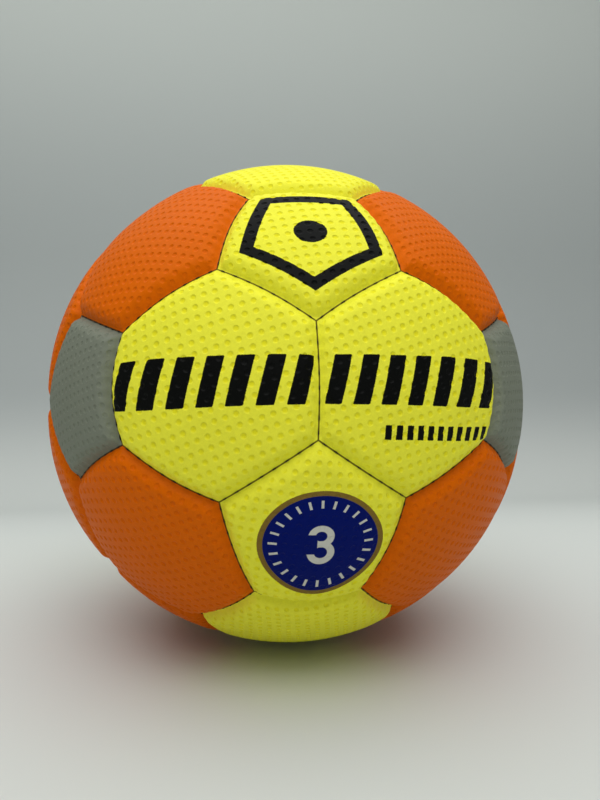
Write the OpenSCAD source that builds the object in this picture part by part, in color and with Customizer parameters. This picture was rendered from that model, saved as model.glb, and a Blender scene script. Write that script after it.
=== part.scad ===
// Hand-stitched handball of 32 panels: 12 pentagons and 20 hexagons, sewn round an inflated bladder.
// The origin is the centre of the ball. The seam between the two front hexagons faces -Y, and +Z is up.

/* [Ball] */
// Girth of the ball, taken round the crowns of its panels
girth = 590; // [500:1:600]

/* [Cover panels] */
// How far the middle of a hexagon stands above its edges
hexagon_swell = 0.6; // [0.3:0.05:1]
// How far the middle of a pentagon stands above its edges
pentagon_swell = 0.4; // [0.2:0.05:0.8]
// Thickness of the cover
cover_wall = 1.4; // [1:0.1:1.8]
// Radius of the shoulder that rolls from a panel's face into the seam
shoulder_r = 3; // [2.4:0.1:4]
// Gap between the two facing walls of a seam
seam_gap = 0.1; // [0.05:0.05:0.3]

/* [Backing] */
// Thickness of the foam behind the cover
foam_wall = 2.4; // [1:0.1:3]
// Thickness of the woven lining behind the foam
lining_wall = 0.8; // [0.4:0.1:1.2]
// Gap left between two layers of a panel
layer_gap = 0.1; // [0.05:0.05:0.2]

/* [Stitching] */
// Stitches along each seam
stitches = 8; // [4:1:10]
// Diameter of the waxed thread along the inside of a seam
thread_d = 0.8; // [0.6:0.1:1]
// Diameter of the thread where it is drawn tight through the two walls
drawn_thread_d = 0.45; // [0.3:0.05:0.5]
// Diameter of the awl holes
awl_hole_d = 0.9; // [0.8:0.1:1.2]
// Gap left round the thread
thread_gap = 0.1; // [0.05:0.05:0.2]
// Depth of the stitches below the foot of the shoulder
stitch_depth = 0.7; // [0.6:0.1:1]
// Least width of the turned-in edge below the stitches
flange_margin = 0.6; // [0.4:0.1:1]

/* [Bladder] */
// Thickness of the latex bladder
bladder_wall = 1; // [0.6:0.1:1.5]
// Gap between the lining and the bladder
bladder_gap = 0.15; // [0.1:0.05:0.3]

/* [Valve] */
// Diameter of the hole that the valve shows through
valve_hole_d = 7; // [6.5:0.1:9]
// Diameter of the valve's neck
valve_neck_d = 6; // [5:0.1:6.4]
// Depth of the valve's end below the cover
valve_recess = 0.5; // [0.2:0.1:1]
// Diameter of the valve's foot, which is bonded to the inside of the bladder
valve_foot_d = 24; // [18:1:30]
// Thickness of the valve's foot in the middle
valve_foot_wall = 1.6; // [1.2:0.1:2.4]
// Diameter of the valve's barrel inside the bladder
valve_barrel_d = 10; // [9:0.1:13]
// Length of the barrel below the foot
valve_barrel_l = 9; // [7:0.5:14]
// Radius of the barrel's rounded end
valve_barrel_round = 2; // [1:0.1:2.2]
// Diameter of the core's upper part
core_neck_d = 4; // [3.6:0.1:4.6]
// Diameter of the core's bulb, which holds it in the barrel
core_bulb_d = 6.4; // [5.4:0.1:7]
// Length of the core's bulb
core_bulb_l = 5; // [4:0.1:6]
// Gap between the core and its seat
core_gap = 0.05; // [0.02:0.01:0.1]
// Diameter of the needle's channel
needle_d = 2.2; // [1.8:0.1:2.4]
// Length of the needle's channel
needle_l = 6; // [4:0.1:8]
// Diameter of the funnel at the channel's mouth
funnel_d = 3.2; // [2.8:0.1:3.4]
// Depth of the funnel
funnel_l = 0.8; // [0.4:0.1:1.2]
// Width of the self-closing slit below the channel
slit_w = 2; // [1:0.1:2.2]
// Opening of the slit
slit_gap = 0.1; // [0.05:0.05:0.2]
// Diameter of the patch behind the valve hole
patch_d = 26; // [18:1:32]
// Thickness of the patch
patch_wall = 0.4; // [0.2:0.05:0.5]

/* [Hidden] */
YELLOW = "#E8E93F";
ORANGE = "#E8731E";
GREY = "#7F857B";
FOAM = "#EDEBDD";
LINING = "#F4F1E6";
THREAD = "#2B2620";
LATEX = "#C99A5B";
BUTYL = "#2A2A2C";
CORE = "#E7E2D2";
PATCH = "#D8CFB6";

// How far cutting bodies run past what they cut
overrun = 1;
// Share of the thread's diameter that is left between its flat side and its middle
thread_flat_share = 0.3;
// Angle at which the shoulder's arc crosses the dome, so that the cut between them is clean
shoulder_crease = 9;

// The golden ratio, which places the pentagons of the ball
PHI = (1 + sqrt(5)) / 2;
// Three pentagon centres that meet round one hexagon, and what they give
P1 = [0, -PHI, 1];
P2 = [0, -PHI, -1];
P3 = [PHI, -1, 0];
SEAM_MIDDLE = 4 * P1 + P2 + P3;
SEAM_END = 2 * P1 + P2;

function unit(v) = v / norm(v);
function between(a, b) = acos(unit(a) * unit(b));

// Angles at the ball's centre, from the middle of a panel to the middle of its seams and to its corners
pentagon_reach = between(P1, SEAM_MIDDLE);
hexagon_reach = between(P1 + P2 + P3, SEAM_MIDDLE);
pentagon_corner = between(P1, SEAM_END);
hexagon_corner = between(P1 + P2 + P3, SEAM_END);
half_seam = between(SEAM_MIDDLE, SEAM_END);

// Radii from the ball's centre
hexagon_crown_r = girth / (2 * PI);
outside_r = hexagon_crown_r + overrun;
edge_r = hexagon_crown_r - hexagon_swell;
pentagon_crown_r = edge_r + pentagon_swell;
stitch_r = edge_r - shoulder_r - stitch_depth;

// Depths of the layers below the face of the cover
foam_inset = cover_wall + layer_gap;
lining_inset = foam_inset + foam_wall + layer_gap;
backing_end = lining_inset + lining_wall;

// The lining lies lowest in the corners of the panels. The turned-in edges reach as deep, or deeper
lining_low_r = min(
    radius_at(pentagon_corner, pentagon_reach, pentagon_crown_r, backing_end),
    radius_at(hexagon_corner, hexagon_reach, hexagon_crown_r, backing_end));
flange_end_r = min(lining_low_r, stitch_r - awl_hole_d / 2 - flange_margin);

// The patch follows the lining, and its rim lies lowest
patch_inset = backing_end + layer_gap;
patch_end = patch_inset + patch_wall;
patch_reach = asin(patch_d / 2 / hexagon_crown_r);
patch_low_r = radius_at(patch_reach, hexagon_reach, hexagon_crown_r, patch_end);

bladder_r = min(flange_end_r - bladder_gap, patch_low_r - layer_gap);
bladder_inner_r = bladder_r - bladder_wall;

// Distances from the plane of a seam. The backing clears both the thread and the inside of the shoulder
wall_face = seam_gap / 2;
thread_face = wall_face + cover_wall + thread_gap;
thread_run = thread_face + thread_flat_share * thread_d;
inner_shoulder_r = shoulder_r - cover_wall;
shoulder_clear = shoulder_r - sqrt(pow(inner_shoulder_r, 2) - pow(shoulder_r - foam_inset, 2));
backing_edge = max(thread_run + thread_d / 2 + thread_gap, wall_face + shoulder_clear + layer_gap);

// Widest that a panel is, and the turn of the round bodies that trim its sides, with room to spare
panel_width = 2 * hexagon_crown_r * sin(hexagon_corner) + overrun;
trimmer_angle = 4 * hexagon_corner;

// The valve stands in this panel
VALVE_PANEL = "rear_right_hexagon";
valve_top = hexagon_crown_r - valve_recess;
foot_top_r = bladder_inner_r - layer_gap;
barrel_end = foot_top_r - valve_foot_wall - valve_barrel_l;
bulb_end = barrel_end + valve_barrel_round;
bulb_top = bulb_end + core_bulb_l;

// Which way each word in a panel's name points, and the long side of a hexagon's direction
FRONT_REAR = [["front", -1], ["rear", 1]];
LEFT_RIGHT = [["left", -1], ["right", 1]];
UPPER_LOWER = [["upper", 1], ["lower", -1]];
LONG = 2 * PHI + 1;

// Each panel's name, the direction of its middle, and its colour
PENTAGONS = [
    for (y = FRONT_REAR, z = UPPER_LOWER)
        [str(y[0], "_", z[0], "_pentagon"), [0, y[1] * PHI, z[1]], YELLOW],
    for (y = FRONT_REAR, x = LEFT_RIGHT)
        [str(y[0], "_", x[0], "_pentagon"), [x[1] * PHI, y[1], 0], GREY],
    for (z = UPPER_LOWER, x = LEFT_RIGHT)
        [str(z[0], "_", x[0], "_pentagon"), [x[1], 0, z[1] * PHI], ORANGE],
];
HEXAGONS = [
    for (y = FRONT_REAR, x = LEFT_RIGHT)
        [str(y[0], "_", x[0], "_hexagon"), [x[1] * PHI, y[1] * LONG, 0], YELLOW],
    for (z = UPPER_LOWER, y = FRONT_REAR)
        [str(z[0], "_", y[0], "_hexagon"), [0, y[1] * PHI, z[1] * LONG], YELLOW],
    for (z = UPPER_LOWER, x = LEFT_RIGHT)
        [str(z[0], "_", x[0], "_hexagon"), [x[1] * LONG, 0, z[1] * PHI], ORANGE],
    for (z = UPPER_LOWER, y = FRONT_REAR, x = LEFT_RIGHT)
        [str(z[0], "_", y[0], "_", x[0], "_hexagon"), [x[1], y[1], z[1]], ORANGE],
];

// Two panels are neighbours when their middles are nearer than this
NEIGHBOUR_ANGLE = 50;

function neighbours(direction, panels) =
    [for (p = panels) if (p[1] != direction && between(direction, p[1]) < NEIGHBOUR_ANGLE) p[1]];

// The part of v that is square to the unit vector n, one long
function square_to(n, v) = unit(v - (v * n) * n);

// Puts what is drawn round +Z on the panel whose middle is that way, with +X towards the middle of one seam
module at_panel(direction, towards) {
    z = unit(direction);
    x = square_to(z, towards);
    y = cross(z, x);
    multmatrix([[x[0], y[0], z[0], 0], [x[1], y[1], z[1], 0], [x[2], y[2], z[2], 0]]) children();
}

module at_hexagon(direction) {
    at_panel(direction, neighbours(direction, PENTAGONS)[0]) children();
}

module at_pentagon(direction) {
    at_panel(direction, neighbours(direction, HEXAGONS)[0]) children();
}

// Puts what is drawn in a seam's frame on one seam of a panel, or on them all: +X leaves the ball through
// the middle of the seam, and +Z is square to the seam and points into the panel
module at_seam(k, sides, reach) {
    rotate([0, 0, k * 360 / sides]) rotate([0, reach - 90, 0]) children();
}

module at_seams(sides, reach) {
    for (k = [0 : sides - 1]) at_seam(k, sides, reach) children();
}

// Puts children at every stitch of a seam, in the seam's frame
module at_stitches() {
    for (k = [0 : stitches - 1])
        rotate([0, 0, half_seam * ((2 * k + 1) / stitches - 1)]) translate([stitch_r, 0, 0]) children();
}

// How far the centre of a panel's dome lies from the ball's centre, and the dome's radius
function dome_offset(crown_r, reach) =
    (crown_r * crown_r - edge_r * edge_r) / (2 * (crown_r - edge_r * cos(reach)));
function dome_r(crown_r, reach) = crown_r - dome_offset(crown_r, reach);

// How far a face that lies some depth below a panel's dome is from the ball's centre, at an angle from the
// panel's middle
function radius_at(angle, reach, crown_r, depth) =
    let (offset = dome_offset(crown_r, reach), ball_r = dome_r(crown_r, reach) - depth)
        offset * cos(angle) + sqrt(pow(ball_r, 2) - pow(offset * sin(angle), 2));

// A ball turned so that its poles and its seam lie clear of the panel on top of it
module turned_ball(r) {
    rotate([0, 90, 0]) sphere(r, $fn = 120);
}

// The ball that a layer of a panel is part of, some depth below the panel's face
module layer_ball(reach, crown_r, depth) {
    translate([0, 0, dome_offset(crown_r, reach)]) turned_ball(dome_r(crown_r, reach) - depth);
}

// The section of the round body that gives a panel one straight wall and one rolled shoulder. Y runs
// along the body's axis, which passes through the middle of the dome, square to the seam
module shoulder_section(crown_r, reach, inset) {
    ball_r = dome_r(crown_r, reach);
    wall_y = wall_face - dome_offset(crown_r, reach) * sin(reach);
    arc_y = wall_y + shoulder_r;
    arc_reach = ball_r * ball_r + shoulder_r * shoulder_r - 2 * ball_r * shoulder_r * cos(shoulder_crease);
    arc_x = sqrt(arc_reach - arc_y * arc_y);
    translate([0, wall_y + inset]) square([arc_x, panel_width]);
    translate([0, arc_y]) square([ball_r + overrun, panel_width]);
    translate([arc_x, arc_y]) circle(shoulder_r - inset, $fn = 60);
}

// What is left of the first child once the second, set on each side of a panel in turn, has trimmed it
module trim_sides(k, sides, reach) {
    if (k < 0)
        children(0);
    else
        intersection() {
            trim_sides(k - 1, sides, reach) {
                children(0);
                children(1);
            }
            at_seam(k, sides, reach) children(1);
        }
}

// A panel's blank: a dome whose edges roll in and end in flat walls. inset is how far its faces lie inside
// those of the cover
module panel_blank(sides, reach, crown_r, inset) {
    translate([0, 0, dome_offset(crown_r, reach)]) trim_sides(sides - 1, sides, reach) {
        turned_ball(dome_r(crown_r, reach) - inset);
        rotate_extrude(angle = trimmer_angle, start = -trimmer_angle / 2, $fn = 120)
            shoulder_section(crown_r, reach, inset);
    }
}

// A cover panel: synthetic leather with its edges turned in and pierced for the thread
module cover_panel(sides, reach, crown_r) {
    difference() {
        panel_blank(sides, reach, crown_r, 0);
        panel_blank(sides, reach, crown_r, cover_wall);
        turned_ball(flange_end_r);
        at_seams(sides, reach) at_stitches()
            cylinder(h = 2 * (cover_wall + overrun), d = awl_hole_d, center = true, $fn = 24);
    }
}

// A layer behind a cover panel, cut off straight so that it stops short of the thread
module backing_layer(sides, reach, crown_r, inset, wall) {
    difference() {
        trim_sides(sides - 1, sides, reach) {
            layer_ball(reach, crown_r, inset);
            translate([0, -panel_width / 2, backing_edge]) cube([outside_r, panel_width, panel_width]);
        }
        layer_ball(reach, crown_r, inset + wall);
    }
}

// The hole that the valve's neck passes through, in the frame of its panel
module valve_hole() {
    cylinder(h = outside_r + overrun, d = valve_hole_d, $fn = 60);
}

module pentagon_panel(panel) {
    color(panel[2]) at_pentagon(panel[1]) cover_panel(5, pentagon_reach, pentagon_crown_r);
}

module hexagon_panel(panel) {
    color(panel[2]) at_hexagon(panel[1]) difference() {
        cover_panel(6, hexagon_reach, hexagon_crown_r);
        if (panel[0] == VALVE_PANEL) valve_hole();
    }
}

module pentagon_backings(inset, wall) {
    for (p = PENTAGONS)
        at_pentagon(p[1]) backing_layer(5, pentagon_reach, pentagon_crown_r, inset, wall);
}

module hexagon_backings(inset, wall) {
    for (h = HEXAGONS)
        at_hexagon(h[1]) difference() {
            backing_layer(6, hexagon_reach, hexagon_crown_r, inset, wall);
            if (h[0] == VALVE_PANEL) valve_hole();
        }
}

module pentagon_foam() {
    color(FOAM) pentagon_backings(foam_inset, foam_wall);
}

module hexagon_foam() {
    color(FOAM) hexagon_backings(foam_inset, foam_wall);
}

module pentagon_lining() {
    color(LINING) pentagon_backings(lining_inset, lining_wall);
}

module hexagon_lining() {
    color(LINING) hexagon_backings(lining_inset, lining_wall);
}

// The thread of one seam, in the seam's frame: a run along each side, drawn flat against the wall, and
// the stitches that join the two through the awl holes
module seam_thread() {
    last = half_seam * (1 - 1 / stitches);
    for (side = [0, 1])
        mirror([0, 0, side]) rotate_extrude(angle = 2 * last, start = -last, $fn = 180)
            intersection() {
                translate([stitch_r, thread_run]) circle(d = thread_d, $fn = 24);
                translate([stitch_r - thread_d, thread_face]) square([2 * thread_d, thread_d]);
            }
    at_stitches() cylinder(h = 2 * thread_run, d = drawn_thread_d, center = true, $fn = 24);
}

module pentagon_seam_thread() {
    color(THREAD) for (p = PENTAGONS)
        at_pentagon(p[1]) at_seams(5, pentagon_reach) seam_thread();
}

// Each seam between two hexagons is drawn once, from the hexagon that comes first in the list
module hexagon_seam_thread() {
    color(THREAD) for (a = [0 : len(HEXAGONS) - 1], b = [0 : len(HEXAGONS) - 1])
        if (a < b && between(HEXAGONS[a][1], HEXAGONS[b][1]) < NEIGHBOUR_ANGLE)
            at_panel(HEXAGONS[a][1], HEXAGONS[b][1]) rotate([0, hexagon_reach - 90, 0]) seam_thread();
}

module at_valve() {
    at_hexagon([for (h = HEXAGONS) if (h[0] == VALVE_PANEL) h[1]][0]) children();
}

module bladder() {
    color(LATEX) difference() {
        sphere(bladder_r, $fn = 180);
        sphere(bladder_inner_r, $fn = 180);
        at_valve() cylinder(h = outside_r, d = valve_neck_d + 2 * layer_gap, $fn = 60);
    }
}

// The moulded valve: a neck that reaches the cover, a foot inside the bladder, and a barrel with a rounded
// end. Barrel and neck both run into the foot. The core sits in it from inside
module valve_body() {
    neck_end = foot_top_r - valve_foot_wall - overrun;
    color(BUTYL) at_valve() difference() {
        union() {
            valve_barrel();
            valve_foot();
            translate([0, 0, neck_end]) cylinder(h = valve_top - neck_end, d = valve_neck_d, $fn = 60);
        }
        translate([0, 0, bulb_top - overrun])
            cylinder(h = outside_r - bulb_top + overrun, d = core_neck_d + 2 * core_gap, $fn = 48);
        translate([0, 0, bulb_end - core_gap])
            cylinder(h = core_bulb_l + 2 * core_gap, d = core_bulb_d + 2 * core_gap, $fn = 48);
        translate([0, 0, barrel_end - overrun])
            cylinder(h = valve_barrel_round + 2 * overrun, d = core_neck_d, $fn = 48);
    }
}

module valve_barrel() {
    straight_x = valve_barrel_d / 2 - valve_barrel_round;
    round_y = barrel_end + valve_barrel_round;
    top_y = foot_top_r - valve_foot_wall / 2;
    rotate_extrude($fn = 60) {
        translate([0, barrel_end]) square([straight_x, top_y - barrel_end]);
        translate([0, round_y]) square([valve_barrel_d / 2, top_y - round_y]);
        translate([straight_x, round_y]) circle(valve_barrel_round, $fn = 48);
    }
}

// The foot's upper face follows the inside of the bladder, and its lower face is flat
module valve_foot() {
    intersection() {
        sphere(foot_top_r, $fn = 180);
        translate([0, 0, foot_top_r - valve_foot_wall])
            cylinder(h = valve_foot_wall + overrun, d = valve_foot_d, $fn = 90);
    }
}

module valve_core() {
    color(CORE) at_valve() difference() {
        union() {
            translate([0, 0, bulb_end]) cylinder(h = core_bulb_l, d = core_bulb_d, $fn = 48);
            translate([0, 0, bulb_top - overrun])
                cylinder(h = valve_top - bulb_top + overrun, d = core_neck_d, $fn = 48);
        }
        translate([0, 0, valve_top - needle_l]) cylinder(h = needle_l + overrun, d = needle_d, $fn = 36);
        translate([0, 0, valve_top - funnel_l])
            cylinder(h = funnel_l, d1 = needle_d, d2 = funnel_d, $fn = 36);
        translate([-slit_w / 2, -slit_gap / 2, bulb_end - overrun])
            cube([slit_w, slit_gap, valve_top - needle_l - bulb_end + 2 * overrun]);
    }
}

// The patch lies on the inside of the lining, round the valve's neck
module valve_patch() {
    color(PATCH) at_valve() difference() {
        intersection() {
            layer_ball(hexagon_reach, hexagon_crown_r, patch_inset);
            cylinder(h = outside_r, d = patch_d, $fn = 90);
        }
        layer_ball(hexagon_reach, hexagon_crown_r, patch_end);
        valve_hole();
    }
}

for (p = PENTAGONS) pentagon_panel(p);
for (h = HEXAGONS) hexagon_panel(h);
pentagon_foam();
hexagon_foam();
pentagon_lining();
hexagon_lining();
pentagon_seam_thread();
hexagon_seam_thread();
bladder();
valve_body();
valve_core();
valve_patch();
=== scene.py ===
"""Hand-stitched handball: cover panels, thread, backing, bladder, valve and a plain stage."""

import itertools
import math

import bmesh
import bpy
import numpy as np
from bpy.props import FloatProperty, FloatVectorProperty, IntProperty, PointerProperty
from mathutils import Matrix, Vector


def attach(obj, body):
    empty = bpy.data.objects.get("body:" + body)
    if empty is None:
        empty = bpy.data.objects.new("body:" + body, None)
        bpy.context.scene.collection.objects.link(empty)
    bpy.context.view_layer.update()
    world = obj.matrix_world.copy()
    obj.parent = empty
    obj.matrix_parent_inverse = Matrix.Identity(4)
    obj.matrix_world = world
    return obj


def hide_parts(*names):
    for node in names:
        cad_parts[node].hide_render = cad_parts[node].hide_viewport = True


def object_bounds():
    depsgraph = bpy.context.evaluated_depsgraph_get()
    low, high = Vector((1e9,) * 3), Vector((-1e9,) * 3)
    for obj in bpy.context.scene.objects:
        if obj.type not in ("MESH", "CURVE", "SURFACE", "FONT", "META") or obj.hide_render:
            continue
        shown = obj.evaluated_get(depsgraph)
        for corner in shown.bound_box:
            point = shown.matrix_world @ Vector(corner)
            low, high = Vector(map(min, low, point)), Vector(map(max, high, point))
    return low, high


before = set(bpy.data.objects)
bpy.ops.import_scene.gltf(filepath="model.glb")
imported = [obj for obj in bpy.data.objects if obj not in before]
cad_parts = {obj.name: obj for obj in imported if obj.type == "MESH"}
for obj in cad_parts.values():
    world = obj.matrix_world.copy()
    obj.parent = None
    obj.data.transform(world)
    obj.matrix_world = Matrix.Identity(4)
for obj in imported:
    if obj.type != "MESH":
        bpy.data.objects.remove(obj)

bl_info = {
    "name": "Stitched Handball",
    "version": (1, 0, 0),
    "blender": (4, 5, 0),
    "location": "View3D > Sidebar > Handball",
    "description": "Dresses the handball's CAD frame with dimpled panels, thread, prints and a stage",
    "category": "Mesh",
}

CAD_LOW, CAD_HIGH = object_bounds()
MM = 0.001
TINY = 1e-9
UP = Vector((0, 0, 1))

# The golden ratio and the long side of a hexagon's direction
PHI = (1 + math.sqrt(5)) / 2
LONG = 2 * PHI + 1

# The axis and the way along it that each word in a panel's name stands for
WAYS = {"left": (0, -1), "right": (0, 1), "front": (1, -1), "rear": (1, 1), "lower": (2, -1), "upper": (2, 1)}

# The panels come in families: the words of their names, how far each word reaches, the shape and the colour
FAMILIES = (
    (("front rear", "upper lower"), (PHI, 1), "pentagon", "yellow"),
    (("front rear", "left right"), (1, PHI), "pentagon", "grey"),
    (("upper lower", "left right"), (PHI, 1), "pentagon", "orange"),
    (("front rear", "left right"), (LONG, PHI), "hexagon", "yellow"),
    (("upper lower", "front rear"), (LONG, PHI), "hexagon", "yellow"),
    (("upper lower", "left right"), (PHI, LONG), "hexagon", "orange"),
    (("upper lower", "front rear", "left right"), (1, 1, 1), "hexagon", "orange"),
)
SIDES = {"pentagon": 5, "hexagon": 6}

# Two panels lie side by side when their middles are nearer than this
NEIGHBOUR_ANGLE = math.radians(50)
VALVE_PANEL = "rear_right_hexagon"
ROUNDEL_PANEL = "front_lower_pentagon"

# The middle of the roundel on its panel, in millimetres to the right and up
ROUNDEL_MIDDLE = (1.7, -1.1)

# The pulled seams stretch its panel by this much from top to bottom, which the roundel makes up for
ROUNDEL_STRETCH = 1.06

# The dimples fade out towards a panel's edge between these two distances from it on the sheet (mm)
PLAIN_RIM = (3.6, 5.4)

# The turn of the dimples, in degrees, on the panels in front. On the others it goes by the panel's number
DIMPLE_TURNS = {
    "front_left_hexagon": 16.5,
    "front_right_hexagon": 18,
    "front_upper_pentagon": 9,
    "front_lower_pentagon": -5,
    "upper_front_left_hexagon": -6,
    "upper_front_right_hexagon": 8,
    "lower_front_left_hexagon": 6,
    "lower_front_right_hexagon": -10,
}
TURN_STEP, TURN_SPREAD = 37, 40

# Hand sewing and stiff panels leave the seams off their regular places. How far the middle of each seam lies
# from there, in millimetres out of the first panel into the second. The rear is the front turned half round
PULLS = {
    "front_upper_pentagon": {
        "front_left_hexagon": -1.1,
        "front_right_hexagon": -0.8,
        "upper_front_left_hexagon": 1.3,
        "upper_front_right_hexagon": 2.7,
    },
    "front_lower_pentagon": {
        "lower_front_hexagon": 5.2,
        "lower_front_left_hexagon": 0.8,
        "lower_front_right_hexagon": 1.5,
    },
    "front_left_pentagon": {
        "front_left_hexagon": -5.2,
        "upper_front_left_hexagon": -0.5,
        "lower_front_left_hexagon": -1.5,
    },
    "front_right_pentagon": {"front_right_hexagon": -5.7, "lower_front_right_hexagon": -1.8},
    "front_left_hexagon": {
        "front_right_hexagon": 0.6,
        "upper_front_left_hexagon": 2.0,
        "lower_front_left_hexagon": 1.5,
    },
    "front_right_hexagon": {"upper_front_right_hexagon": 3.4, "lower_front_right_hexagon": 0.6},
    "upper_front_hexagon": {"upper_front_left_hexagon": -1.2, "upper_front_right_hexagon": -0.4},
    "lower_front_hexagon": {"lower_front_left_hexagon": -1.8, "lower_front_right_hexagon": -1.3},
}
HALF_TURN = {"front": "rear", "rear": "front", "left": "right", "right": "left"}

# How far round the ball a pull is felt, in radians
PULL_SPREAD = 0.42

# Heights that tell the face, the foot of the turned-in edge and the back apart while a panel is still flat
FACE_LEVEL, FOOT_LEVEL, BACK_LEVEL = 0, -1, -2

# The maps and the attribute that the panels' materials read
SHEET_MAP = "sheet"
DIMPLE_MAP = "dimples"
SEAM_DISTANCE = "seam_distance"


def a_length(name, millimetres, description):
    return FloatProperty(name=name, description=description, default=millimetres * MM, unit="LENGTH")


def an_angle(name, degrees, description):
    return FloatProperty(name=name, description=description, default=math.radians(degrees), subtype="ANGLE")


def a_colour(name, value, description):
    return FloatVectorProperty(name=name, description=description, default=value, subtype="COLOR")


def a_number(name, value, description):
    return FloatProperty(name=name, description=description, default=value)


def a_count(name, value, description):
    return IntProperty(name=name, description=description, default=value)


class CoverSettings(bpy.types.PropertyGroup):
    """Sizes and colours of the 32 cover panels."""

    hexagon_swell: a_length("Hexagon swell", 0.6, "How far a hexagon's middle stands above its edges")
    pentagon_swell: a_length("Pentagon swell", 0.4, "How far a pentagon's middle stands above its edges")
    wall: a_length("Wall", 1.4, "Thickness of the synthetic leather")
    shoulder: a_length("Shoulder radius", 5.5, "Radius with which a panel rolls into its seams")
    groove: a_length("Groove depth", 3.0, "Depth at which the panels meet in their seams")
    back_shoulder: a_length("Back shoulder", 1.6, "Radius with which a panel's back rolls into its seams")
    seam_gap: a_length("Seam gap", 0.1, "Gap between the two walls of a seam")
    corner_power: a_number("Corner power", 2.0, "How tightly two shoulders blend at a corner")
    rows: a_count("Rows", 88, "Rows of faces from a panel's middle to its seams")
    back_rows: a_count("Back rows", 26, "Rows of faces on a panel's back")
    dimple_pitch: a_length("Dimple pitch", 3.55, "Spacing of the dimples")
    dimple_radius: a_length("Dimple radius", 1.1, "Radius of a dimple's rim")
    dimple_depth: a_length("Dimple depth", 0.27, "Depth of a dimple")
    scallop: a_length("Scallop", 0.22, "How far a stitch draws the panel's edge in")
    stitches: a_count("Stitches", 8, "Stitches along each seam")
    valve_hole: a_length("Valve hole", 3.5, "Radius of the valve hole")
    yellow: a_colour("Yellow", (0.90, 0.885, 0.052), "Yellow panels")
    orange: a_colour("Orange", (0.73, 0.134, 0.0), "Orange panels")
    grey: a_colour("Grey", (0.2, 0.221, 0.17), "Grey panels")


class PrintSettings(bpy.types.PropertyGroup):
    """Sizes and colours of the prints on the four front panels."""

    ink: a_colour("Ink", (0.004, 0.0045, 0.004), "Black screen print")
    navy: a_colour("Navy", (0.0, 0.006, 0.13), "Field of the roundel")
    gold: a_colour("Gold", (0.22, 0.14, 0.025), "Rim of the roundel")
    white: a_colour("White", (0.62, 0.62, 0.56), "Marks on the roundel")
    bar_pitch: a_length("Bar pitch", 9.3, "Spacing of the slanted bars")
    bar_width: a_length("Bar width", 5.6, "Width of a slanted bar")
    bar_height: a_length("Bar height", 15.5, "Height of the band of bars")
    bar_slant: an_angle("Bar slant", 14, "Lean of the bars")
    roundel_radius: a_length("Roundel radius", 19.6, "Outer radius of the roundel")


class ThreadSettings(bpy.types.PropertyGroup):
    """Sizes and colour of the waxed thread."""

    radius: a_length("Radius", 0.4, "Radius of the thread along a seam")
    drawn_radius: a_length("Drawn radius", 0.2, "Radius where the thread is drawn through both walls")
    clearance: a_length("Clearance", 0.1, "Gap between thread and wall")
    depth: a_length("Depth", 3.7, "Depth of the stitches below the panels' edges")
    show_length: a_length("Showing length", 1.6, "Length of a stitch that shows in the groove")
    colour: a_colour("Colour", (0.018, 0.014, 0.011), "Waxed thread")


class InsideSettings(bpy.types.PropertyGroup):
    """Colours of what lies under the cover."""

    panel_back: a_colour("Panel back", (0.55, 0.53, 0.47), "Cloth on the back of the cover panels")
    foam: a_colour("Foam", (0.80, 0.78, 0.68), "Foam behind the panels")
    lining: a_colour("Lining", (0.78, 0.75, 0.66), "Cloth behind the foam")
    latex: a_colour("Latex", (0.58, 0.33, 0.12), "Bladder")
    valve_rubber: a_colour("Valve rubber", (0.022, 0.022, 0.024), "Valve body")
    core_rubber: a_colour("Core rubber", (0.72, 0.69, 0.60), "Valve core")
    patch: a_colour("Patch", (0.62, 0.56, 0.42), "Cloth of the valve patch")


class StageSettings(bpy.types.PropertyGroup):
    """The camera, the lights and the paper that the ball lies on."""

    azimuth: an_angle("Azimuth", -6.13, "Camera's way round the ball")
    elevation: an_angle("Elevation", -4.42, "Camera's height, seen from the ball")
    distance: a_length("Distance", 354, "From the ball's middle to the camera")
    roll: an_angle("Roll", -0.87, "Lean of the camera")
    tilt: an_angle("Tilt", 0.23, "How far the camera looks up")
    pan: an_angle("Pan", -0.91, "How far the camera looks aside")
    lens: a_number("Lens", 39.06, "Focal length in millimetres")
    lean: an_angle("Lean", 12, "Slope of the paper under the ball")
    lamp: a_number("Lamp", 11.9, "Power of the overhead softbox in watts")
    fill: a_number("Fill", 1.8, "Power of the front softbox in watts")
    ambient: a_number("Ambient", 0.22, "Strength of the light from all around")
    floor: a_colour("Floor", (0.64, 0.675, 0.645), "Paper under the ball")
    # The wall colour paints shade onto the paper behind the ball, and the top colour paints light higher up
    wall: a_colour("Wall", (0.42, 0.455, 0.445), "Paper behind the ball")
    wall_top_painted_light: a_colour("Wall top", (0.60, 0.645, 0.605), "Paper higher up")


def unit(v):
    return Vector(v).normalized()


def between(a, b):
    return math.acos(max(-1, min(1, a.dot(b))))


# Three pentagon centres that meet round one hexagon, and the angles that they give
P1, P2, P3 = Vector((0, -PHI, 1)), Vector((0, -PHI, -1)), Vector((PHI, -1, 0))
SEAM_MIDDLE, SEAM_END = unit(4 * P1 + P2 + P3), unit(2 * P1 + P2)
HALF_SEAM = between(SEAM_MIDDLE, SEAM_END)
REACH = {
    "pentagon": between(unit(P1), SEAM_MIDDLE),
    "hexagon": between(unit(P1 + P2 + P3), SEAM_MIDDLE),
}


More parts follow.
